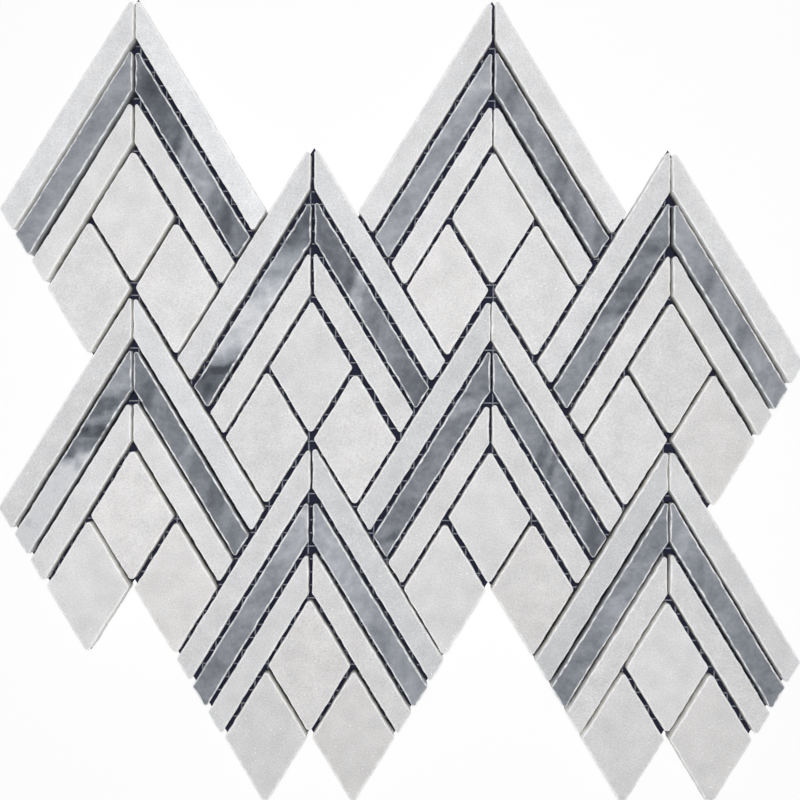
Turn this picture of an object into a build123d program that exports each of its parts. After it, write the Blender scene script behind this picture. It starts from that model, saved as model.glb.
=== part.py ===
"""Marble mosaic sheet: mitred chevrons of white and grey strips, each holding three diamonds, bonded to a net."""
import os
from math import ceil, cos, radians, sin, tan

from build123d import *

# Driving sizes, in millimetres and degrees
half_angle = 31.5       # lean of every strip from the sheet's upright axis
strip_width = 8.6       # across a strip
diamond_width = 26.4    # across the flats of a diamond
joint = 1.6             # open joint between stones
mitre_joint = 0.8       # tighter joint where two strips meet on a mitre
stone_thickness = 9.5
edge_break = 0.5        # worn arris round the honed face
tip_break = 0.7         # wear on the acute tips, as a radius
net_thickness = 0.5
strand_width = 0.8
net_pitch = 10.0        # every second strand of the net
net_margin = 4.5        # the net stops this far inside the joint line round the sheet
columns = 4
rows = 2
strips = ("outer_white", "grey", "inner_white")

# Lattice that follows from them: s runs down a unit's right arm and t down its left arm
lean = radians(half_angle)
strip_step = (strip_width + joint) / sin(2 * lean)
diamond_step = (diamond_width + joint) / sin(2 * lean)
core = len(strips) * strip_step
arm = core + 2 * diamond_step
column_pitch = (arm + diamond_step) * sin(lean)
column_drop = (arm - diamond_step) * cos(lean)
row_pitch = 2 * column_drop
diamond_rise = diamond_width / sin(2 * lean) * cos(lean)
diamond_reach = diamond_width / sin(2 * lean) * sin(lean)
strip_tip_cut = tip_break / tan(lean / 2)
diamond_tip_cut = tip_break / tan(lean)

# Highest and lowest stone edges, measured from the first unit's apex, put the sheet's middle on the origin
top_edge = -joint / 2 / sin(lean) - mitre_joint / 2 / tan(lean) - strip_tip_cut * cos(lean)
hang = column_drop * min(columns - 1, 1) + (rows - 1) * row_pitch
unit_foot = -(2 * arm - diamond_step) * cos(lean)
bottom_edge = unit_foot - hang + joint / 2 / sin(lean) + diamond_tip_cut * cos(lean)
first_x = -(columns - 1) / 2 * column_pitch
first_y = -(top_edge + bottom_edge) / 2
sheet_height = top_edge - bottom_edge
sheet_width = (columns - 1) * column_pitch + 2 * arm * sin(lean) - joint / cos(lean)


def point(s, t):
    """Sheet-plane point of a place in a unit, from its apex."""
    return ((s - t) * sin(lean), -(s + t) * cos(lean))


def apex(column, row):
    """Sheet-plane point of a unit's apex."""
    return (first_x + column * column_pitch, first_y - row * row_pitch - column % 2 * column_drop)


def chevron(place, outer):
    """Pair of strips that meet on a mitre, their outer edges on the line t = outer."""
    inner = outer + strip_step
    spare = (joint - mitre_joint) / 2
    tip = point(outer - spare / sin(lean), outer)
    heel = point(arm, inner)
    throat = point(inner - spare / sin(lean), inner)
    with BuildPart() as pair:
        with BuildSketch(place) as face:
            with BuildLine():
                Polyline(tip, point(arm, outer), heel, throat, close=True)
            make_face()
            offset(amount=-joint / 2, kind=Kind.INTERSECTION)
            chamfer(face.vertices().sort_by_distance(tip)[0], strip_tip_cut)
            chamfer(face.vertices().sort_by_distance(heel)[0], diamond_tip_cut)
            mirror(about=Plane.YZ)
        extrude(amount=stone_thickness)
        chamfer(pair.faces().group_by(Axis.Z)[-1].edges(), edge_break)
    return pair.part


def diamonds(place):
    """Top, right and left diamonds of a unit."""
    near = core + diamond_step / 2
    far = near + diamond_step
    centres = (point(near, near), point(far, near), point(near, far))
    with BuildPart() as trio:
        with BuildSketch(place) as face:
            with Locations(*centres):
                Polygon((0, diamond_rise), (-diamond_reach, 0), (0, -diamond_rise), (diamond_reach, 0), align=None)
            for x, y in centres:
                for end in (y + diamond_rise, y - diamond_rise):
                    chamfer(face.vertices().sort_by_distance((x, end))[0], diamond_tip_cut)
        extrude(amount=stone_thickness)
        chamfer(trio.faces().group_by(Axis.Z)[-1].edges(), edge_break)
    return trio.part


os.makedirs("parts", exist_ok=True)

# Stones, a unit at a time
for column in range(columns):
    for row in range(rows):
        unit = f"c{column + 1}r{row + 1}"
        place = Plane(origin=(*apex(column, row), net_thickness))
        for index, strip in enumerate(strips):
            stones = chevron(place, index * strip_step)
            stones.label = f"{unit}_{strip}"
            export_step(stones, f"parts/{stones.label}.step")
        stones = diamonds(place)
        stones.label = f"{unit}_diamonds"
        export_step(stones, f"parts/{stones.label}.step")

# Outline that the net is cut to
with BuildSketch() as net_outline:
    for column in range(columns):
        for row in range(rows):
            with BuildLine(Plane(origin=(*apex(column, row), 0))):
                Polyline(
                    point(0, 0),
                    point(arm, 0),
                    point(arm, arm - diamond_step),
                    point(arm - diamond_step, arm - diamond_step),
                    point(arm - diamond_step, arm),
                    point(0, arm),
                    close=True,
                )
            make_face()
    offset(amount=-net_margin, kind=Kind.INTERSECTION)

# Net, in upright bands that meet halfway between two strands
band_strands = ceil(sheet_width / net_pitch / columns)
cross_strands = ceil(sheet_height / net_pitch)
mesh_opening = net_pitch - strand_width
for column in range(columns):
    band_x = (column - (columns - 1) / 2) * band_strands * net_pitch
    with BuildPart() as band:
        with BuildSketch():
            with Locations((band_x, 0)):
                Rectangle(band_strands * net_pitch, cross_strands * net_pitch)
                with GridLocations(net_pitch, net_pitch, band_strands + 1, cross_strands + 1):
                    Rectangle(mesh_opening, mesh_opening, mode=Mode.SUBTRACT)
            add(net_outline.sketch, mode=Mode.INTERSECT)
        extrude(amount=net_thickness)
    net = Part(band.solids().sort_by(SortBy.VOLUME)[-1].wrapped)
    net.label = f"net_{column + 1}"
    export_step(net, f"parts/{net.label}.step")
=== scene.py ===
"""Looks of a marble mosaic sheet: worn stones, woven backing net, stage, light and camera."""

import math
import random

import bmesh
import bpy
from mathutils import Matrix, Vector, noise
from mathutils.geometry import delaunay_2d_cdt


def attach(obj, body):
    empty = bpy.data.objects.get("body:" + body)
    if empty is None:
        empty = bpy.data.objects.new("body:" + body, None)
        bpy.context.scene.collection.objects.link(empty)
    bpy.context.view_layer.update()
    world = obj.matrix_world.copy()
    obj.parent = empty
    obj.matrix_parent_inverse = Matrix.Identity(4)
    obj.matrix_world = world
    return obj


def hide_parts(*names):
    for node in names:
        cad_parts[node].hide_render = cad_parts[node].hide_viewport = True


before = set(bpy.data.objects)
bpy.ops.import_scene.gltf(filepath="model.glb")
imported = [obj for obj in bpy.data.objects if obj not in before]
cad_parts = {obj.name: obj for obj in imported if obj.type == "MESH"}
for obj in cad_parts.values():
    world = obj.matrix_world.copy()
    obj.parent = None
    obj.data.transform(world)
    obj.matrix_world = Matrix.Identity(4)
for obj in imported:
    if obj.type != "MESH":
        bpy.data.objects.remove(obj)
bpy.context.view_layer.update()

# Sizes shared with the part's source, in metres and radians
MM = 0.001
LEAN = math.radians(31.5)
STRIP_WIDTH = 8.6 * MM
DIAMOND_WIDTH = 26.4 * MM
JOINT = 1.6 * MM
MITRE_JOINT = 0.8 * MM
STONE_THICKNESS = 9.5 * MM
TIP_BREAK = 0.7 * MM
NET_THICKNESS = 0.5 * MM
NET_MARGIN = 4.5 * MM
BAND_WIDTH = 80.0 * MM
COLUMNS = 4
ROWS = 2
STRIPS = ("outer_white", "grey", "inner_white")

# Lattice that follows from them: s runs down a unit's right arm and t down its left arm
SKEW = math.sin(2 * LEAN)
STRIP_STEP = (STRIP_WIDTH + JOINT) / SKEW
DIAMOND_STEP = (DIAMOND_WIDTH + JOINT) / SKEW
CORE = len(STRIPS) * STRIP_STEP
ARM = CORE + 2 * DIAMOND_STEP
NOTCH = ARM - DIAMOND_STEP
COLUMN_PITCH = (ARM + DIAMOND_STEP) * math.sin(LEAN)
COLUMN_DROP = NOTCH * math.cos(LEAN)
ROW_PITCH = 2 * COLUMN_DROP
STRIP_TIP_TRIM = TIP_BREAK / math.tan(LEAN / 2) * math.cos(LEAN)
TOP_EDGE = -JOINT / 2 / math.sin(LEAN) - MITRE_JOINT / 2 / math.tan(LEAN) - STRIP_TIP_TRIM
TIP_TRIM = TIP_BREAK / math.tan(LEAN) * math.cos(LEAN)
UNIT_FOOT = -(2 * ARM - DIAMOND_STEP) * math.cos(LEAN)
HANG = COLUMN_DROP + (ROWS - 1) * ROW_PITCH
BOTTOM_EDGE = UNIT_FOOT - HANG + JOINT / 2 / math.sin(LEAN) + TIP_TRIM
FIRST_X = -(COLUMNS - 1) / 2 * COLUMN_PITCH
FIRST_Y = -(TOP_EDGE + BOTTOM_EDGE) / 2
FACE_Z = NET_THICKNESS + STONE_THICKNESS
RIGHT_DOWN = Vector((math.sin(LEAN), -math.cos(LEAN)))
LEFT_DOWN = Vector((-math.sin(LEAN), -math.cos(LEAN)))

# How the stones were laid
LAID_TURN = 0.0022
LAID_SHIFT = 0.13 * MM
FACE_DIP = 0.12 * MM
SEED_RANGE = 50
FIRST_SEED = 100
COLUMN_SEEDS = 10

# How they are worn, and how pale their arrises are, partly as wear and partly as painted highlight: ripples
# are strength, waves in a millimetre and which noise of the stone's own it is
STRIP_CORNER = 0.85 * MM
DIAMOND_CORNER = 1.3 * MM
CORNER_SPREAD = (0.8, 1.3)
SAW_WAVE = 0.28 * MM
SAW_RIPPLES = ((0.6, 0.12, 4), (0.7, 0.36, 5))
ARRIS = 0.5 * MM
ARRIS_RIPPLES = ((0.28, 0.55, 1), (0.18, 1.7, 2))
# Paleness of each arris ring from the face outwards: partly wear, partly painted highlight
ARRIS_WEAR_AND_HIGHLIGHT = (0.1, 0.5, 0.9, 1.0, 0.9)
ARRIS_RIM = 0.3 * MM
CHIP_RIPPLES = ((1.0, 0.42, 3),)
CHIP_FROM = 0.42
CHIP_DEPTH = 1.65
BEND_SPAN = 2
SHARP_BEND = 0.9
CORNER_WEAR = 0.7
CORNER_REACH = 0.5
REACH_EASE = 0.1 * MM
EASE_PASSES = 8
SWAY = 0.05 * MM
SWAY_LUMP = 1.3 * MM
# How unevenly the arrises are made pale, partly as wear and partly as painted highlight
WEAR_AND_HIGHLIGHT_MEAN = 0.85
WEAR_AND_HIGHLIGHT_SPREAD = 0.9
WEAR_AND_HIGHLIGHT_LUMP = 1.6 * MM
WEAR_AND_HIGHLIGHT_NOISE = 7

# How their meshes are divided
OUTLINE_STEP = 0.8 * MM
CORNER_STEP = 0.4 * OUTLINE_STEP
FILL_STEP = 1.1 * MM
FILL_ROW = 0.866 * FILL_STEP
FILL_MARGIN = 3.2 * ARRIS
INSIDE_OUTLINE = 1
FILL_NEAR = 1e-5

# How patches of grey lie: they slant over the stone, with wavy edges given as lump and swing
BAND_SLANT = 1.0
BAND_WAVES = ((8 * MM, 2.2 * MM), (2.6 * MM, 1.1 * MM))
PATCHY = 0.5
PATCHY_LUMP = 4 * MM
PATCHY_NOISE = 6
PATCH_EDGE = 6
GRAIN_SHIFT = 10 * MM


def point(s, t):
    """Sheet-plane point of a place in a unit, from its apex."""
    return Vector(((s - t) * math.sin(LEAN), -(s + t) * math.cos(LEAN)))


def apex(column, row):
    """Sheet-plane point of a unit's apex."""
    x = FIRST_X + column * COLUMN_PITCH
    y = FIRST_Y - row * ROW_PITCH - column % 2 * COLUMN_DROP
    return Vector((x, y))


def mirrored(points):
    """The same outline on the other arm, still anticlockwise."""
    return [Vector((-p.x, p.y)) for p in reversed(points)]


def strip_corners(index):
    """Joint-line corners of a right arm's strip, anticlockwise from its tip."""
    outer = index * STRIP_STEP
    inner = outer + STRIP_STEP
    spare = (JOINT - MITRE_JOINT) / 2 / math.sin(LEAN)
    return [point(outer - spare, outer), point(inner - spare, inner), point(ARM, inner), point(ARM, outer)]


def diamond_corners(s, t):
    """Joint-line corners of a diamond, anticlockwise from its top."""
    far_s = s + DIAMOND_STEP
    far_t = t + DIAMOND_STEP
    return [point(s, t), point(s, far_t), point(far_s, far_t), point(far_s, t)]


def cross(a, b):
    """Cross product in the sheet's plane."""
    return a.x * b.y - a.y * b.x


def inset(corners, distance):
    """Anticlockwise outline with every side moved inwards."""
    count = len(corners)
    sides = []
    for i in range(count):
        a, b = corners[i], corners[(i + 1) % count]
        along = (b - a).normalized()
        inwards = Vector((-along.y, along.x))
        sides.append((a + inwards * distance, along))
    moved = []
    for i in range(count):
        (p, d), (q, e) = sides[i - 1], sides[i]
        moved.append(p + d * (cross(q - p, e) / cross(d, e)))
    return moved


def rounded(corners, radius, rng):
    """Outline with its corners rounded, as a list of close points."""
    count = len(corners)
    path = []
    for i in range(count):
        corner = corners[i]
        back = (corners[i - 1] - corner).normalized()
        ahead = (corners[(i + 1) % count] - corner).normalized()
        half = math.acos(max(-1.0, min(1.0, back.dot(ahead)))) / 2
        r = radius * rng.uniform(*CORNER_SPREAD)
        centre = corner + (back + ahead).normalized() * (r / math.sin(half))
        start = corner + back * (r / math.tan(half)) - centre
        turn = math.pi - 2 * half
        steps = max(2, math.ceil(turn * r / CORNER_STEP))
        for k in range(steps + 1):
            a = turn * k / steps
            x = start.x * math.cos(a) - start.y * math.sin(a)
            y = start.x * math.sin(a) + start.y * math.cos(a)
            path.append(centre + Vector((x, y)))
    return path


def resampled(path, step):
    """Closed path with even steps; rounded tips keep their points."""
    points = []
    count = len(path)
    for i in range(count):
        a, b = path[i], path[(i + 1) % count]
        pieces = max(1, round((b - a).length / step))
        for k in range(pieces):
            points.append(a.lerp(b, k / pieces))
    return points


def inward_normals(ring):
    """Direction into an anticlockwise ring at each of its points."""
    count = len(ring)
    normals = []
    for i in range(count):
        along = (ring[(i + 1) % count] - ring[i - 1]).normalized()
        normals.append(Vector((-along.y, along.x)))
    return normals


def reach_limits(bends, radius):
    """How far in from each outline point the arris and its rim may reach: less near a corner."""
    count = len(bends)
    limits = [CORNER_REACH * radius if bend < SHARP_BEND else math.inf for bend in bends]
    for _ in range(EASE_PASSES):
        eased = []
        for i in range(count):
            eased.append(min(limits[i], limits[i - 1] + REACH_EASE, limits[(i + 1) % count] + REACH_EASE))
        limits = eased
    return limits


def inside_outline(ring, x, y):
    """Even-odd test."""
    within = False
    for i in range(len(ring)):
        a, b = ring[i - 1], ring[i]
        if (a.y > y) != (b.y > y) and x < (b.x - a.x) * (y - a.y) / (b.y - a.y) + a.x:
            within = not within
    return within


def ripple(place, seed, ripples):
    """Noise waves added up at a place in millimetres."""
    return sum(strength * noise.noise(place * rate + seed * own) for strength, rate, own in ripples)


class StoneMesh:
    """Vertices, faces and point values of one object, gathered stone by stone."""

    def __init__(self):
        self.verts = []
        self.faces = []
        self.flat = []
        self.grain = []
        self.tint = []
        self.edge = []
        self.cloud = []

    def add_vertex(self, place, grain, tint, edge, cloud):
        """A vertex with its values; returns its index."""
        self.verts.append(place)
        self.grain.extend(grain)
        self.tint.extend(tint)
        self.edge.append(edge)
        self.cloud.append(cloud)
        return len(self.verts) - 1

    def add_face(self, corners, flat=False):
        """A face between vertices, smooth unless it is flat."""
        self.faces.append(tuple(corners))
        self.flat.append(flat)

    def build(self, name, material):
        """Object made of what was gathered."""
        mesh = bpy.data.meshes.new(name)
        mesh.from_pydata(self.verts, [], self.faces)
        mesh.polygons.foreach_set("use_smooth", [not flat for flat in self.flat])
        for label, kind, key, values in (
            ("grain", "FLOAT_VECTOR", "vector", self.grain),
            ("tint", "FLOAT_COLOR", "color", self.tint),
            ("edge", "FLOAT", "value", self.edge),
            ("cloud", "FLOAT", "value", self.cloud),
        ):
            attribute = mesh.attributes.new(label, kind, "POINT")
            attribute.data.foreach_set(key, values)
        mesh.materials.append(material)
        mesh.update()
        return linked_object(name, mesh)


class Stone:
    """One worn stone inside its joint lines.

    along is the direction of its grain, laid_by how far off its place it was laid in millimetres, tone its
    grey and clouds its dark and pale patches.
    """

    def __init__(self, corners, along, rng, tint, radius, laid_by=(0.0, 0.0), tone=0.0, clouds=()):
        self.seed = Vector([rng.uniform(0, SEED_RANGE) for _ in range(3)])
        self.base = inset(corners, JOINT / 2)
        self.middle = sum(self.base, Vector((0, 0))) / len(self.base)
        self.along = along
        self.across = Vector((-along.y, along.x))
        self.half_length = max(abs((corner - self.middle).dot(along)) for corner in self.base)
        self.tint = tint
        self.tone = tone
        self.clouds = clouds
        self.outline = resampled(rounded(self.laid_corners(rng, laid_by), radius, rng), OUTLINE_STEP)
        self.inwards = inward_normals(self.outline)
        self.top = FACE_Z - rng.uniform(0, FACE_DIP)
        self.wear(radius)

    def laid_corners(self, rng, laid_by):
        """Corners of the stone as it was laid, a little turned and off its place."""
        turn = rng.gauss(0, LAID_TURN)
        shift = Vector((rng.gauss(0, LAID_SHIFT), rng.gauss(0, LAID_SHIFT))) + Vector(laid_by) * MM
        corners = []
        for corner in self.base:
            arm = corner - self.middle
            corners.append(self.middle + shift + Vector((arm.x - turn * arm.y, arm.y + turn * arm.x)))
        return corners

    def wear(self, radius):
        """Wavy saw cuts along the outline, and how wide the arris is worn at each of its points."""
        count = len(self.outline)
        bends = []
        for i in range(count):
            bends.append(self.inwards[i - BEND_SPAN].dot(self.inwards[(i + BEND_SPAN) % count]))
        self.limits = reach_limits(bends, radius)
        self.worn = []
        for i, p in enumerate(self.outline):
            place = Vector((p.x, p.y, 0)) / MM
            self.outline[i] = p + self.inwards[i] * SAW_WAVE * ripple(place, self.seed, SAW_RIPPLES)
            chip = max(0.0, ripple(place, self.seed, CHIP_RIPPLES) - CHIP_FROM)
            share = CORNER_WEAR if bends[i] < SHARP_BEND else 1.0
            rough = ripple(place, self.seed, ARRIS_RIPPLES)
            self.worn.append(share * ARRIS * (1 + rough + CHIP_DEPTH * chip))

    def local(self, p):
        """How far a point lies along the stone and across it."""
        arm = p - self.middle
        return arm.dot(self.along), arm.dot(self.across)

    def cloud_at(self, p):
        """Grey at a point: the stone's tone with its slanting patches."""
        u, v = self.local(p)
        spot = Vector((u, v, 0))
        wave = sum(noise.noise(spot / lump + self.seed) * swing for lump, swing in BAND_WAVES)
        slant = u + BAND_SLANT * v + wave
        patchy = 1 + PATCHY * noise.noise(spot / PATCHY_LUMP + self.seed * PATCHY_NOISE)
        total = self.tone
        for place, reach, strength in self.clouds:
            off = (slant - (2 * place - 1) * self.half_length) / (2 * reach * self.half_length)
            total += strength * patchy / (1 + off ** PATCH_EDGE)
        return total

    def vertex(self, mesh, p, z, edge=0.0):
        """A vertex of the stone, made pale by its edge value, partly as wear and partly as painted
        highlight.
        """
        u, v = self.local(p)
        grain = Vector((u + BAND_SLANT * v, v - BAND_SLANT * u, z)) + self.seed * GRAIN_SHIFT
        return mesh.add_vertex((p.x, p.y, z), grain, self.tint, edge, self.cloud_at(p))

    def ring(self, mesh, level, share=0.0, rim=0.0, drop=0.0, wear_and_highlight=0.0):
        """Vertices round the stone, in from its outline by a share of the arris and a rim.

        They lie at level, less a drop given in arrises.
        """
        row = []
        for i, p in enumerate(self.outline):
            arris = self.worn[i]
            z = level - drop * arris
            sway = SWAY * noise.noise(Vector((p.x, p.y, z)) / SWAY_LUMP + self.seed)
            uneven = noise.noise(Vector((p.x, p.y, 0)) / WEAR_AND_HIGHLIGHT_LUMP + self.seed * WEAR_AND_HIGHLIGHT_NOISE)
            fit = min(1.0, self.limits[i] / (arris + ARRIS_RIM))
            place = p + self.inwards[i] * ((share * arris + rim) * fit + sway)
            row.append(self.vertex(mesh, place, z, wear_and_highlight * (WEAR_AND_HIGHLIGHT_MEAN + WEAR_AND_HIGHLIGHT_SPREAD * uneven)))
        return row

    def add_side(self, mesh):
        """Foot, sawn side, rounded arris and the rim of the face; returns the rim's vertices."""
        rings = [self.ring(mesh, NET_THICKNESS), self.ring(mesh, NET_THICKNESS + STONE_THICKNESS / 2)]
        # Each arris ring gets its paleness here, partly wear and partly painted highlight
        for step, wear_and_highlight in enumerate(ARRIS_WEAR_AND_HIGHLIGHT):
            angle = math.pi / 2 * step / (len(ARRIS_WEAR_AND_HIGHLIGHT) - 1)
            share = 1 - math.cos(angle)
            drop = 1 - math.sin(angle)
            rings.append(self.ring(mesh, self.top, share, drop=drop, wear_and_highlight=wear_and_highlight))
        rings.append(self.ring(mesh, self.top, 1.0, rim=ARRIS_RIM))
        count = len(self.outline)
        for low, high in zip(rings, rings[1:]):
            for i in range(count):
                j = (i + 1) % count
                mesh.add_face((low[i], low[j], high[j], high[i]))
        mesh.add_face(reversed(rings[0]), flat=True)
        return rings[-1]

    def add_honed_face(self, mesh, rim):
        """Honed face inside its rim, filled with evenly spread points."""
        keep = [p + n * FILL_MARGIN for p, n in zip(self.outline, self.inwards)]
        places = [Vector(mesh.verts[k][:2]) for k in rim]
        reach = max((corner - self.middle).length for corner in self.base)
        span = int(reach / FILL_STEP) + 2
        for row in range(-span, span + 1):
            for col in range(-span, span + 1):
                u = (col + 0.5 * (row % 2)) * FILL_STEP
                p = self.middle + self.along * u + self.across * (row * FILL_ROW)
                if inside_outline(keep, p.x, p.y):
                    places.append(p)
        scaled = [p / MM for p in places]
        outline = list(range(len(rim)))
        verts, _, faces, origin, _, _ = delaunay_2d_cdt(scaled, [], [outline], INSIDE_OUTLINE, FILL_NEAR)
        index = []
        for place, sources in zip(verts, origin):
            if sources and sources[0] < len(rim):
                index.append(rim[sources[0]])
            else:
                index.append(self.vertex(mesh, Vector(place) * MM, self.top))
        for face in faces:
            mesh.add_face(index[k] for k in face)

    def add_to(self, mesh):
        """The whole stone."""
        rim = self.add_side(mesh)
        self.add_honed_face(mesh, rim)


def linked_object(name, data):
    """Object in the scene."""
    obj = bpy.data.objects.new(name, data)
    bpy.context.scene.collection.objects.link(obj)
    return obj


def stand_for(piece, node):
    """A piece takes a node's place on the sheet."""
    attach(piece, "root")
    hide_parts(node)


# Shader nodes


class Tree:
    """Short ways to add nodes to a shader tree."""

    def __init__(self, node_tree):
        self.nodes = node_tree.nodes
        self.links = node_tree.links

    def feed(self, socket, value):
        """Set a socket to a number or a colour, or link it to an output."""
        if isinstance(value, (int, float)):
            socket.default_value = value
        elif isinstance(value, tuple):
            socket.default_value = (*value, 1.0)
        else:
            self.links.new(value, socket)

    def attribute(self, name, output):
        """Values that the mesh carries."""
        node = self.nodes.new("ShaderNodeAttribute")
        node.attribute_name = name
        return node.outputs[output]

    def noise(self, vector, scale, detail, rough, distortion=0.0):
        """Noise of so many lumps in a metre."""
        node = self.nodes.new("ShaderNodeTexNoise")
        node.inputs["Scale"].default_value = scale
        node.inputs["Detail"].default_value = detail
        node.inputs["Roughness"].default_value = rough
        node.inputs["Distortion"].default_value = distortion
        self.links.new(vector, node.inputs["Vector"])
        return node.outputs["Fac"]

    def stretch(self, vector, scale):
        """Coordinates scaled by axis."""
        node = self.nodes.new("ShaderNodeMapping")
        node.inputs["Scale"].default_value = scale
        self.links.new(vector, node.inputs["Vector"])
        return node.outputs["Vector"]

    def math(self, operation, a, b=None, c=None, clamp=False):
        """Sum on numbers or outputs."""
        node = self.nodes.new("ShaderNodeMath")
        node.operation = operation
        node.use_clamp = clamp
        for socket, value in zip(node.inputs, (a, b, c)):
            if value is not None:
                self.feed(socket, value)
        return node.outputs[0]

    def ramp(self, factor, *stops):
        """Colour by factor, between stops of place and colour."""
        node = self.nodes.new("ShaderNodeValToRGB")
        elements = node.color_ramp.elements
        while len(elements) < len(stops):
            elements.new(0.5)
        for element, (place, colour) in zip(elements, stops):
            element.position = place
            element.color = (*colour, 1.0)
        self.links.new(factor, node.inputs["Fac"])
        return node.outputs["Color"]

    def mix(self, blend, factor, a, b):
        """Colours a and b blended; the sockets of a colour mix are 0, 6 and 7, its output 2."""
        node = self.nodes.new("ShaderNodeMix")
        node.data_type = "RGBA"
        node.blend_type = blend
        for socket, value in zip((node.inputs[0], node.inputs[6], node.inputs[7]), (factor, a, b)):
            self.feed(socket, value)
        return node.outputs[2]


def new_material(name):
    """Material with its tree and its shader."""
    material = bpy.data.materials.new(name)
    material.use_nodes = True
    tree = Tree(material.node_tree)
    return material, tree, tree.nodes["Principled BSDF"]


def srgb(r, g, b):
    """Colour written as screen values, 0 to 255, in linear light."""
    out = []
    for v in (r, g, b):
        c = v / 255
        out.append(c / 12.92 if c <= 0.04045 else ((c + 0.055) / 1.055) ** 2.4)
    return tuple(out)


def grey(level):
    """Neutral colour in linear light."""
    return (level, level, level)


# Materials

WHITE_SHADED = srgb(208, 208, 209)
WHITE_CLEAR = srgb(219, 219, 220)
WHITE_FLECK = srgb(250, 250, 250)
# Colour of the pale arris: partly wear, partly painted highlight
WHITE_WORN_AND_HIGHLIT = srgb(248, 248, 248)
WHITE_SAWN = srgb(252, 249, 243)
# How strongly the arris is made pale, partly as wear and partly as painted highlight
WHITE_WEAR_AND_HIGHLIGHT = 0.65
WHITE_SCATTER = (1.0, 0.95, 0.88)
WHITE_RELIEF = 0.25
GREY_STOPS = (
    (0.0, srgb(58, 62, 71)),
    (0.25, srgb(98, 102, 111)),
    (0.5, srgb(139, 143, 150)),
    (0.75, srgb(172, 175, 181)),
    (1.0, srgb(210, 211, 213)),
)
# Colour of the grey stone's pale arris: partly wear, partly painted highlight
GREY_WORN_AND_HIGHLIT = srgb(234, 235, 237)
GREY_DUST = srgb(190, 191, 193)
GREY_DUSTED = 0.65
# How strongly the grey arris is made pale, partly as wear and partly as painted highlight
GREY_WEAR_AND_HIGHLIGHT = 0.95
GREY_BANDING = (1.0, 0.55, 1.0)
GREY_BROAD = 0.65
GREY_MOTTLE = 0.32
GREY_SCATTER = (1.0, 1.0, 1.0)
GREY_RELIEF = 0.2
# Yarn colours darker and bluer than pale fibreglass: painted shade of the deep joints, with the dark mat
# painted as if seen through the yarn
YARN_DARK = srgb(120, 123, 133)
YARN_PALE = srgb(168, 171, 179)
SIDE_FROM = 1.4
SAW_STRETCH = (0.05, 0.05, 1.0)
SAW_RELIEF = 2.0
RELIEF = 0.1 * MM
HONED_ROUGHNESS = 0.6
HONED_SPECULAR = 0.25
FACE_SCATTER = 1.2 * MM
SIDE_SCATTER = 17 * MM
YARN_ROUGHNESS = 0.6


def side_factor(tree):
    """1 on the sawn sides, 0 on the honed face."""
    geometry = tree.nodes.new("ShaderNodeNewGeometry")
    split = tree.nodes.new("ShaderNodeSeparateXYZ")
    tree.links.new(geometry.outputs["Normal"], split.inputs[0])
    level = tree.math("ABSOLUTE", split.outputs["Z"])
    facing = tree.math("MULTIPLY", level, SIDE_FROM, clamp=True)
    return tree.math("SUBTRACT", 1.0, facing, clamp=True)


def finish_marble(tree, shader, grain, crystals, face, sawn, scatter, relief):
    """Honed face and sawn sides of a marble, with light that goes through the stone.

    The sides have fine level lines from the saw, and light goes deeper through them, so that they glow with
    what falls on the face.
    """
    side = side_factor(tree)
    lines = tree.noise(tree.stretch(grain, SAW_STRETCH), scale=1600, detail=3, rough=0.65)
    marks = tree.ramp(lines, (0.3, grey(0.86)), (0.65, grey(1.0)))
    sides = tree.mix("MULTIPLY", 1.0, sawn, marks)
    colour = tree.mix("MIX", side, face, sides)
    tree.links.new(colour, shader.inputs["Base Color"])
    shader.inputs["Roughness"].default_value = HONED_ROUGHNESS
    shader.inputs["Specular IOR Level"].default_value = HONED_SPECULAR
    shader.inputs["Subsurface Weight"].default_value = 1.0
    shader.inputs["Subsurface Radius"].default_value = scatter
    depth = tree.math("MULTIPLY_ADD", side, SIDE_SCATTER, FACE_SCATTER)
    tree.links.new(depth, shader.inputs["Subsurface Scale"])
    bump = tree.nodes.new("ShaderNodeBump")
    bump.inputs["Strength"].default_value = relief
    bump.inputs["Distance"].default_value = RELIEF
    height = tree.math("MULTIPLY_ADD", lines, tree.math("MULTIPLY", side, SAW_RELIEF), crystals)
    tree.links.new(height, bump.inputs["Height"])
    tree.links.new(bump.outputs["Normal"], shader.inputs["Normal"])


def white_marble():
    """White stone: soft clouds, sugary crystals, a few bright flecks and pale arrises, partly worn and
    partly painted highlight.
    """
    material, tree, shader = new_material("white_marble")
    grain = tree.attribute("grain", "Vector")
    clouds = tree.noise(grain, scale=90, detail=3, rough=0.5)
    crystals = tree.noise(grain, scale=1300, detail=2, rough=0.7)
    flecks = tree.noise(grain, scale=950, detail=1, rough=0.5)
    soft = tree.ramp(clouds, (0.3, WHITE_SHADED), (0.7, WHITE_CLEAR))
    sugar = tree.ramp(crystals, (0.25, grey(0.8)), (0.5, grey(1.0)), (0.75, grey(1.14)))
    colour = tree.mix("MULTIPLY", 1.0, soft, sugar)
    colour = tree.mix("MULTIPLY", 1.0, colour, tree.attribute("tint", "Color"))
    sparkle = tree.ramp(flecks, (0.72, grey(0.0)), (0.77, grey(1.0)))
    colour = tree.mix("MIX", sparkle, colour, WHITE_FLECK)
    # Arrises made pale: partly wear, partly painted highlight
    bright = tree.math("MULTIPLY", tree.attribute("edge", "Fac"), WHITE_WEAR_AND_HIGHLIGHT, clamp=True)
    colour = tree.mix("MIX", bright, colour, WHITE_WORN_AND_HIGHLIT)
    finish_marble(tree, shader, grain, crystals, colour, WHITE_SAWN, WHITE_SCATTER, WHITE_RELIEF)
    return material


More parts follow.
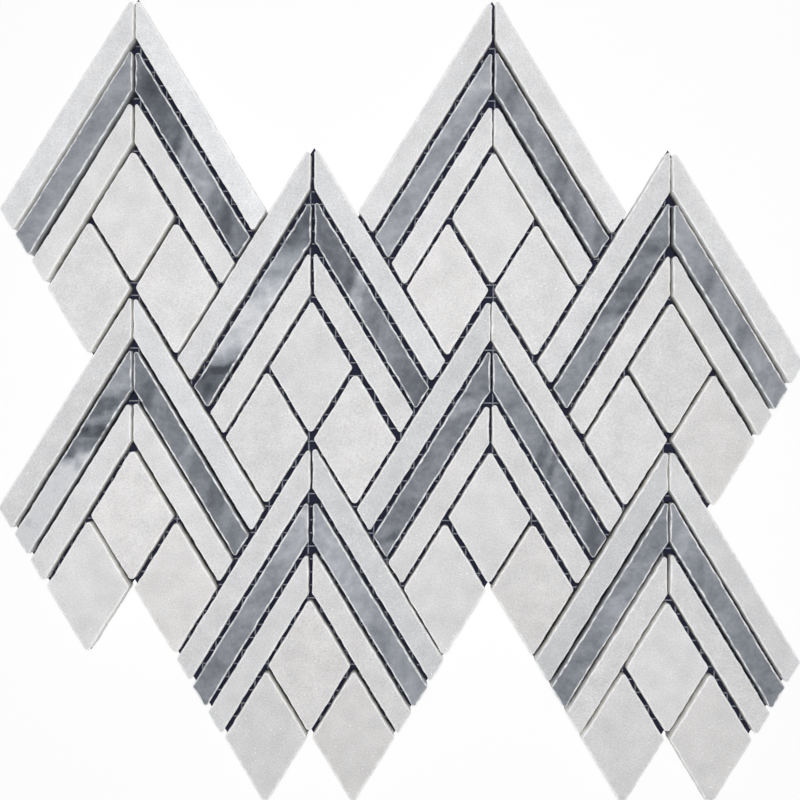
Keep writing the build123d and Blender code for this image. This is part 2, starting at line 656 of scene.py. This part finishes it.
def grey_marble():
    """Grey stone: the strip's own patches under broad bands and mottling, its arrises pale, partly worn and
    partly painted highlight.
    """
    material, tree, shader = new_material("grey_marble")
    grain = tree.attribute("grain", "Vector")
    banded = tree.stretch(grain, GREY_BANDING)
    broad = tree.noise(banded, scale=84, detail=4, rough=0.55, distortion=0.6)
    mottle = tree.noise(grain, scale=270, detail=3, rough=0.6, distortion=0.4)
    crystals = tree.noise(grain, scale=1400, detail=2, rough=0.6)
    broad = tree.math("SUBTRACT", broad, 0.5)
    mottle = tree.math("SUBTRACT", mottle, 0.5)
    shade = tree.math("MULTIPLY_ADD", broad, GREY_BROAD, tree.attribute("cloud", "Fac"))
    shade = tree.math("MULTIPLY_ADD", mottle, GREY_MOTTLE, shade, clamp=True)
    stone = tree.ramp(shade, *GREY_STOPS)
    sugar = tree.ramp(crystals, (0.3, grey(0.9)), (0.5, grey(1.0)), (0.75, grey(1.1)))
    colour = tree.mix("MULTIPLY", 1.0, stone, sugar)
    colour = tree.mix("MULTIPLY", 1.0, colour, tree.attribute("tint", "Color"))
    # Arrises made pale: partly wear, partly painted highlight
    bright = tree.math("MULTIPLY", tree.attribute("edge", "Fac"), GREY_WEAR_AND_HIGHLIGHT, clamp=True)
    colour = tree.mix("MIX", bright, colour, GREY_WORN_AND_HIGHLIT)
    sawn = tree.mix("MIX", GREY_DUSTED, stone, GREY_DUST)
    finish_marble(tree, shader, grain, crystals, colour, sawn, GREY_SCATTER, GREY_RELIEF)
    return material


def net_yarn():
    """Fibreglass yarn, uneven from fibre to fibre, painted dark and bluish as shade deep in the joints."""
    material, tree, shader = new_material("net_yarn")
    place = tree.nodes.new("ShaderNodeTexCoord").outputs["Object"]
    fibres = tree.noise(place, scale=900, detail=3, rough=0.6)
    tree.links.new(tree.ramp(fibres, (0.3, YARN_DARK), (0.7, YARN_PALE)), shader.inputs["Base Color"])
    shader.inputs["Roughness"].default_value = YARN_ROUGHNESS
    return material


WHITE = white_marble()
GREY = grey_marble()
YARN = net_yarn()

# Each grey strip: its tone, then dark and pale patches as place from tip to foot, reach, strength
CLOUDS = {
    "c1r1_left": (0.6, (0.22, 0.1, 0.04)),
    "c1r1_right": (0.38, (0.22, 0.1, -0.14), (0.41, 0.03, -0.16), (0.55, 0.11, 0.32), (0.78, 0.04, -0.14),
                   (0.95, 0.06, -0.12)),
    "c1r2_left": (0.6, (0.25, 0.045, -0.36), (0.385, 0.035, -0.62), (0.46, 0.03, -0.46), (0.79, 0.29, 0.46)),
    "c1r2_right": (0.42, (0.2, 0.04, -0.1), (0.5, 0.03, 0.16), (0.72, 0.05, -0.08)),
    "c2r1_left": (0.7, (0.1, 0.1, -0.5), (0.27, 0.07, -0.1), (0.56, 0.15, 0.22), (0.79, 0.025, -0.3),
                  (0.88, 0.12, -0.52)),
    "c2r1_right": (0.36, (0.2, 0.17, -0.08), (0.36, 0.025, -0.12), (0.43, 0.035, 0.32), (0.66, 0.04, 0.08),
                   (0.87, 0.11, -0.14)),
    "c2r2_left": (0.57, (0.1, 0.2, 0.17), (0.9, 0.25, -0.12)),
    "c2r2_right": (0.6, (0.2, 0.25, 0.07), (0.62, 0.06, -0.05)),
    "c3r1_left": (0.63, (0.13, 0.05, 0.1), (0.75, 0.05, -0.04)),
    "c3r1_right": (0.53, (0.21, 0.025, -0.12), (0.6, 0.04, -0.14), (0.72, 0.025, -0.14), (0.9, 0.05, -0.2)),
    "c3r2_left": (0.39, (0.25, 0.04, 0.2), (0.5, 0.06, -0.04), (0.89, 0.025, -0.2)),
    "c3r2_right": (0.45, (0.12, 0.1, 0.06), (0.46, 0.025, -0.2), (0.54, 0.015, -0.18), (0.7, 0.03, -0.14),
                   (0.87, 0.05, -0.18)),
    "c4r1_left": (0.48, (0.21, 0.05, -0.1), (0.4, 0.05, -0.16), (0.5, 0.03, -0.2), (0.59, 0.03, 0.12)),
    "c4r1_right": (0.58, (0.14, 0.1, 0.1), (0.36, 0.025, -0.12), (0.6, 0.03, -0.14)),
    "c4r2_left": (0.5, (0.18, 0.05, -0.05), (0.5, 0.1, 0.05), (0.74, 0.05, -0.06)),
    "c4r2_right": (0.5, (0.1, 0.12, 0.1), (0.4, 0.06, 0.06), (0.84, 0.05, -0.06)),
}

# Stones that were laid visibly off their place, in millimetres
LAID = {
    "c1r1_outer_white_left": (-0.2, 0.0),
    "c1r1_grey_left": (-0.5, 0.3),
    "c1r1_inner_white_left": (-0.1, 0.05),
    "c1r1_diamonds_top": (-0.25, -0.05),
    "c1r1_diamonds_right": (-0.2, 0.1),
    "c2r1_outer_white_left": (-0.7, 0.0),
    "c2r1_outer_white_right": (0.2, 0.0),
    "c2r1_grey_left": (-0.3, -0.4),
    "c2r1_grey_right": (0.3, -0.4),
    "c2r1_inner_white_left": (-0.2, -0.35),
    "c2r1_inner_white_right": (0.3, 0.05),
    "c2r1_diamonds_top": (-0.45, -0.15),
    "c2r1_diamonds_left": (-0.35, -0.15),
    "c2r1_diamonds_right": (0.25, -0.25),
    "c3r1_outer_white_right": (0.5, 0.05),
    "c3r1_grey_right": (0.25, 0.1),
    "c3r1_inner_white_right": (0.35, 0.15),
    "c3r1_inner_white_left": (0.15, -0.1),
    "c3r1_diamonds_top": (0.55, 0.0),
    "c3r1_diamonds_right": (0.25, 0.0),
    "c4r1_outer_white_left": (0.05, 0.0),
    "c4r1_outer_white_right": (0.25, 0.0),
    "c4r1_grey_left": (0.3, 0.0),
    "c4r1_grey_right": (0.35, 0.0),
    "c4r1_inner_white_left": (0.3, 0.0),
    "c4r1_inner_white_right": (0.35, 0.05),
    "c4r1_diamonds_top": (0.25, 0.0),
    "c1r2_diamonds_top": (0.3, -0.2),
    "c1r2_diamonds_right": (0.4, -0.25),
    "c1r2_diamonds_left": (0.3, 0.0),
    "c2r2_outer_white_left": (0.0, -0.3),
    "c2r2_outer_white_right": (0.35, -0.2),
    "c2r2_grey_left": (-0.15, -0.5),
    "c2r2_grey_right": (0.4, -0.25),
    "c2r2_inner_white_left": (-0.15, -0.5),
    "c2r2_inner_white_right": (0.45, -0.25),
    "c3r2_diamonds_left": (-0.3, -0.15),
    "c3r2_diamonds_right": (-0.25, 0.15),
    "c4r2_outer_white_right": (-0.2, 0.0),
    "c4r2_grey_right": (-0.1, 0.3),
    "c4r2_inner_white_left": (-0.3, 0.1),
    "c4r2_inner_white_right": (0.2, 0.05),
    "c4r2_diamonds_top": (-0.4, 0.05),
    "c4r2_diamonds_left": (-0.3, 0.1),
    "c4r2_diamonds_right": (-0.55, 0.15),
}
IN_PLACE = (0.0, 0.0)

# White stones that are lighter or greyer than the rest of their unit
SHADE = {
    "c1r1_outer_white_left": 1.05,
    "c1r1_outer_white_right": 1.1,
    "c3r1_outer_white_right": 1.05,
    "c4r1_outer_white_right": 1.05,
    "c1r2_outer_white_left": 0.95,
    "c2r2_outer_white_right": 0.95,
    "c3r2_outer_white_left": 0.95,
    "c4r2_outer_white_left": 0.9,
    "c4r2_diamonds_top": 1.05,
}

# The white stones are a little lighter or greyer from unit to unit, here by row and column, and the lower
# row is also a little darker: painted shade for light that falls off down the sheet
UNIT_TONE_AND_SHADE = ((1.08, 1.005, 1.055, 1.015), (1.06, 0.985, 0.99, 1.005))
STRIP_LEVELS = (0.975, 1.01)
DIAMOND_LEVELS = (0.985, 1.02)

# Outer strips are cooler than inner ones, and diamonds are warm
COOL = {"outer_white": 0.004, "grey": 0.0, "inner_white": -0.005}
COOL_SPREAD = 0.006
DIAMOND_WARMTH = (0.002, 0.015)


def lay_strips(unit, origin, index, white_tone_and_shade, rng):
    """Both arms of one of a unit's chevrons."""
    strip = STRIPS[index]
    node = f"{unit}_{strip}"
    is_grey = strip == "grey"
    gathered = StoneMesh()
    right = strip_corners(index)
    for side, corners, along in (("left", mirrored(right), LEFT_DOWN), ("right", right, RIGHT_DOWN)):
        stone = f"{node}_{side}"
        # White stones take their unit's tone, with the lower row's painted shade
        level = rng.uniform(*STRIP_LEVELS) * (1.0 if is_grey else white_tone_and_shade) * SHADE.get(stone, 1.0)
        cool = rng.uniform(-COOL_SPREAD, COOL_SPREAD) + COOL[strip]
        tint = (level - cool, level, level + cool, 1.0)
        tone, *clouds = CLOUDS[f"{unit}_{side}"] if is_grey else (0.0,)
        placed = [origin + corner for corner in corners]
        laid_by = LAID.get(stone, IN_PLACE)
        Stone(placed, along, rng, tint, STRIP_CORNER, laid_by, tone, clouds).add_to(gathered)
    piece = gathered.build(f"{node}_stones", GREY if is_grey else WHITE)
    stand_for(piece, node)


def lay_diamonds(unit, origin, white_tone_and_shade, rng):
    """A unit's three diamonds."""
    node = f"{unit}_diamonds"
    gathered = StoneMesh()
    near = CORE
    far = CORE + DIAMOND_STEP
    for side, s, t in (("top", near, near), ("right", far, near), ("left", near, far)):
        stone = f"{node}_{side}"
        # White stones take their unit's tone, with the lower row's painted shade
        level = rng.uniform(*DIAMOND_LEVELS) * white_tone_and_shade * SHADE.get(stone, 1.0)
        warm = rng.uniform(*DIAMOND_WARMTH)
        tint = (level + warm, level, level - warm, 1.0)
        placed = [origin + corner for corner in diamond_corners(s, t)]
        laid_by = LAID.get(stone, IN_PLACE)
        Stone(placed, RIGHT_DOWN, rng, tint, DIAMOND_CORNER, laid_by).add_to(gathered)
    piece = gathered.build(f"{node}_stones", WHITE)
    stand_for(piece, node)


# Stones, a unit at a time, each unit with a seed of its own
for column in range(COLUMNS):
    for row in range(ROWS):
        unit_name = f"c{column + 1}r{row + 1}"
        unit_apex = apex(column, row)
        unit_rng = random.Random(FIRST_SEED + COLUMN_SEEDS * column + row)
        for strip_index in range(len(STRIPS)):
            lay_strips(unit_name, unit_apex, strip_index, UNIT_TONE_AND_SHADE[row][column], unit_rng)
        lay_diamonds(unit_name, unit_apex, UNIT_TONE_AND_SHADE[row][column], unit_rng)

# Net: flat weft yarns across, and warp yarns in pairs that cross between one weft and the next
NET_PITCH = 5.0 * MM
NET_MIDDLE = NET_THICKNESS / 2
NET_LAST = 31
NET_TURNS = 8
NET_SEED = 7
NET_SLACK = 0.12 * MM
YARN_STEPS = 4
YARN_STEP = NET_PITCH / YARN_STEPS
YARN_SIDES = 6
YARN_SHORTEST = 3
WEFT_HALF = (0.26 * MM, 0.1 * MM)
WEFT_LIFT = 0.03 * MM
WEFT_WAVE = 23 * MM
WARP_HALF = (0.15 * MM, 0.09 * MM)
WARP_LIFT = 0.14 * MM
WARP_SWING = 0.15 * MM
WARP_WAVE = 31 * MM
ALONG_X = Vector((1, 0, 0))
ALONG_Y = Vector((0, 1, 0))


def in_sheet(x, y):
    """True inside the joint line round the sheet."""
    for column in range(COLUMNS):
        for row in range(ROWS):
            origin = apex(column, row)
            across = (x - origin.x) / math.sin(LEAN)
            down = (origin.y - y) / math.cos(LEAN)
            s, t = (down + across) / 2, (down - across) / 2
            if 0 <= s <= ARM and 0 <= t <= ARM and not (s > NOTCH and t > NOTCH):
                return True
    return False


def in_net(x, y):
    """True where the net reaches: clear of the sheet's outline by the margin."""
    for turn in range(NET_TURNS):
        angle = 2 * math.pi * turn / NET_TURNS
        if not in_sheet(x + NET_MARGIN * math.cos(angle), y + NET_MARGIN * math.sin(angle)):
            return False
    return True


net_lines = range(-NET_LAST, NET_LAST + 1)
net_steps = range(-NET_LAST * YARN_STEPS, NET_LAST * YARN_STEPS + 1)
inside_net = {}
for i in net_steps:
    for j in net_steps:
        if i % YARN_STEPS == 0 or j % YARN_STEPS == 0:
            inside_net[i, j] = in_net(i * YARN_STEP, j * YARN_STEP)
net_rng = random.Random(NET_SEED)
slack = {line: net_rng.gauss(0, NET_SLACK) for line in net_lines}


def weft_place(line, i):
    """Point i along a weft yarn, which lies slack and rises and dips between the warp yarns."""
    x = i * YARN_STEP
    y = line * NET_PITCH + slack[line] * math.sin(x / WEFT_WAVE)
    return Vector((x, y, NET_MIDDLE + WEFT_LIFT * math.cos(math.pi * x / NET_PITCH)))


def warp_place(line, j, hand):
    """Point j along one of a pair of warp yarns, which pass above and below a weft by turns."""
    y = j * YARN_STEP
    phase = math.pi * y / NET_PITCH
    x = line * NET_PITCH + slack[line] * math.sin(y / WARP_WAVE) + hand * WARP_SWING * math.sin(phase)
    return Vector((x, y, NET_MIDDLE + hand * WARP_LIFT * math.cos(phase)))


def runs(samples):
    """Stretches of a yarn that lie in the net."""
    current = []
    for place, kept in samples:
        if kept:
            current.append(place)
        elif current:
            yield current
            current = []
    if current:
        yield current


def add_tube(verts, faces, path, flat, half):
    """Closed tube along path, elliptical: half its width in the sheet's plane and half its thickness."""
    start = len(verts)
    for place in path:
        for k in range(YARN_SIDES):
            angle = 2 * math.pi * (k + 0.5) / YARN_SIDES
            off = flat * (half[0] * math.cos(angle)) + Vector((0, 0, half[1] * math.sin(angle)))
            verts.append(place + off)
    for i in range(len(path) - 1):
        a = start + i * YARN_SIDES
        for k in range(YARN_SIDES):
            m = (k + 1) % YARN_SIDES
            faces.append((a + k, a + m, a + m + YARN_SIDES, a + k + YARN_SIDES))
    last = start + (len(path) - 1) * YARN_SIDES
    faces.append(tuple(start + k for k in reversed(range(YARN_SIDES))))
    faces.append(tuple(last + k for k in range(YARN_SIDES)))


def add_yarn(verts, faces, samples, flat, half):
    """A yarn, cut where it leaves the net."""
    for path in runs(samples):
        if len(path) >= YARN_SHORTEST:
            add_tube(verts, faces, path, flat, half)


def weave_band(band):
    """One upright band of the net."""
    low_x = (band - COLUMNS / 2) * BAND_WIDTH
    high_x = low_x + BAND_WIDTH
    verts, faces = [], []
    for line in net_lines:
        samples = []
        for i in net_steps:
            kept = inside_net[i, line * YARN_STEPS] and low_x <= i * YARN_STEP <= high_x
            samples.append((weft_place(line, i), kept))
        add_yarn(verts, faces, samples, ALONG_Y, WEFT_HALF)
        if low_x <= line * NET_PITCH < high_x:
            for hand in (-1, 1):
                samples = [(warp_place(line, j, hand), inside_net[line * YARN_STEPS, j]) for j in net_steps]
                add_yarn(verts, faces, samples, ALONG_X, WARP_HALF)
    node = f"net_{band + 1}"
    mesh = bpy.data.meshes.new(f"{node}_weave")
    mesh.from_pydata(verts, [], faces)
    mesh.polygons.foreach_set("use_smooth", [True] * len(mesh.polygons))
    mesh.materials.append(YARN)
    piece = linked_object(mesh.name, mesh)
    stand_for(piece, node)


for band_index in range(COLUMNS):
    weave_band(band_index)

# Stage: pale floor, and the dark mat that the sheet lies on, cut a little inside its joint line
MAT_INSET = 1.0 * MM
MAT_SCALE = 1.003
MAT_TOP = -0.02 * MM
MAT_NEAR = 1e-3
MAT_COLOUR = srgb(24, 26, 50)
MAT_ROUGHNESS = 0.9
FLOOR_HALF = 20.0
FLOOR_TOP = -0.4 * MM
FLOOR_COLOUR = srgb(245, 245, 245)
FLOOR_ROUGHNESS = 0.8
FLOOR_GLOW = 0.85


def plain_material(name, colour, roughness):
    """Material of one colour, for the stage."""
    material, tree, shader = new_material(name)
    shader.inputs["Base Color"].default_value = (*colour, 1.0)
    shader.inputs["Roughness"].default_value = roughness
    return material, tree, shader


def seen_directly(tree):
    """1 for what the camera sees, itself or in a reflection; 0 for light on the object."""
    path = tree.nodes.new("ShaderNodeLightPath").outputs
    reflected = tree.math("MAXIMUM", path["Is Glossy Ray"], path["Is Transmission Ray"])
    return tree.math("MAXIMUM", path["Is Camera Ray"], reflected)


def unit_outline(origin):
    """Joint line round a unit, anticlockwise from its apex."""
    places = ((0, 0), (0, ARM), (NOTCH, ARM), (NOTCH, NOTCH), (ARM, NOTCH), (ARM, 0))
    return [origin + point(s, t) for s, t in places]


def sheet_outline_mesh(name):
    """Flat mesh of all the units' outlines together, cut inside them by the mat's inset."""
    points = []
    outlines = []
    for column in range(COLUMNS):
        for row in range(ROWS):
            outline = unit_outline(apex(column, row))
            outlines.append(list(range(len(points), len(points) + len(outline))))
            points.extend(p / MM for p in outline)
    verts, _, faces, _, _, _ = delaunay_2d_cdt(points, [], outlines, INSIDE_OUTLINE, MAT_NEAR)
    mesh = bpy.data.meshes.new(name)
    bm = bmesh.new()
    made = [bm.verts.new((v[0] * MM, v[1] * MM, 0.0)) for v in verts]
    for face in faces:
        bm.faces.new([made[k] for k in face])
    bmesh.ops.recalc_face_normals(bm, faces=bm.faces)
    rim = bmesh.ops.inset_region(
        bm,
        faces=bm.faces[:],
        thickness=MAT_INSET,
        use_boundary=True,
        use_even_offset=True,
    )
    bmesh.ops.delete(bm, geom=rim["faces"], context="FACES")
    bm.to_mesh(mesh)
    bm.free()
    return mesh


def add_mat():
    """Dark mat, which shows in the open joints behind the net."""
    mesh = sheet_outline_mesh("mat")
    mat = linked_object("mat", mesh)
    mat.location.z = MAT_TOP
    mat.scale = (MAT_SCALE, MAT_SCALE, 1.0)
    material, _, _ = plain_material("mat_cloth", MAT_COLOUR, MAT_ROUGHNESS)
    mesh.materials.append(material)


def add_floor():
    """Pale floor, shown nearly white, that keeps some of the object's shadow."""
    mesh = bpy.data.meshes.new("floor")
    corners = [(x * FLOOR_HALF, y * FLOOR_HALF, 0) for x, y in ((-1, -1), (1, -1), (1, 1), (-1, 1))]
    mesh.from_pydata(corners, [], [(0, 1, 2, 3)])
    floor = linked_object("floor", mesh)
    floor.location.z = FLOOR_TOP
    material, tree, shader = plain_material("floor_paint", FLOOR_COLOUR, FLOOR_ROUGHNESS)
    glow = tree.nodes.new("ShaderNodeEmission")
    glow.inputs["Strength"].default_value = 1.0
    blend = tree.nodes.new("ShaderNodeMixShader")
    tree.links.new(tree.math("MULTIPLY", seen_directly(tree), FLOOR_GLOW), blend.inputs["Fac"])
    tree.links.new(shader.outputs["BSDF"], blend.inputs[1])
    tree.links.new(glow.outputs["Emission"], blend.inputs[2])
    tree.links.new(blend.outputs["Shader"], tree.nodes["Material Output"].inputs["Surface"])
    mesh.materials.append(material)


add_mat()
add_floor()

# Light: an even sky, and one small lamp beside the camera
SKY_LIGHT = 0.32
SKY_SEEN = 0.9
LAMP_PLACE = Vector((0.0, 0.02, 0.6))
LAMP_SIZE = 0.1
LAMP_POWER = 2.68

scene = bpy.context.scene
scene.view_settings.view_transform = "Standard"
world = bpy.data.worlds.new("world")
scene.world = world
world.use_nodes = True
sky_tree = Tree(world.node_tree)
background = sky_tree.nodes["Background"]
background.inputs["Color"].default_value = (1, 1, 1, 1)
sky = sky_tree.math("MULTIPLY_ADD", seen_directly(sky_tree), SKY_SEEN - SKY_LIGHT, SKY_LIGHT)
sky_tree.links.new(sky, background.inputs["Strength"])

lamp_data = bpy.data.lights.new("beside_camera", "AREA")
lamp_data.shape = "SQUARE"
lamp_data.size = LAMP_SIZE
lamp_data.energy = LAMP_POWER
lamp = linked_object("beside_camera", lamp_data)
lamp.location = LAMP_PLACE
lamp.rotation_euler = (-LAMP_PLACE).to_track_quat("-Z", "Y").to_euler()

# Camera, straight above
CAMERA_HEIGHT = 0.56
FRAME_WIDTH = 0.2998
CAMERA_X = -0.4 * MM
CAMERA_Y = 0.85 * MM
CAMERA_ROLL = 0.0064
SENSOR_WIDTH = 36.0

camera_data = bpy.data.cameras.new("camera")
camera_data.sensor_width = SENSOR_WIDTH
camera_data.lens = SENSOR_WIDTH * CAMERA_HEIGHT / FRAME_WIDTH
camera = linked_object("camera", camera_data)
camera.location = (CAMERA_X, CAMERA_Y, FACE_Z + CAMERA_HEIGHT)
camera.rotation_euler = (0, 0, CAMERA_ROLL)
scene.camera = camera
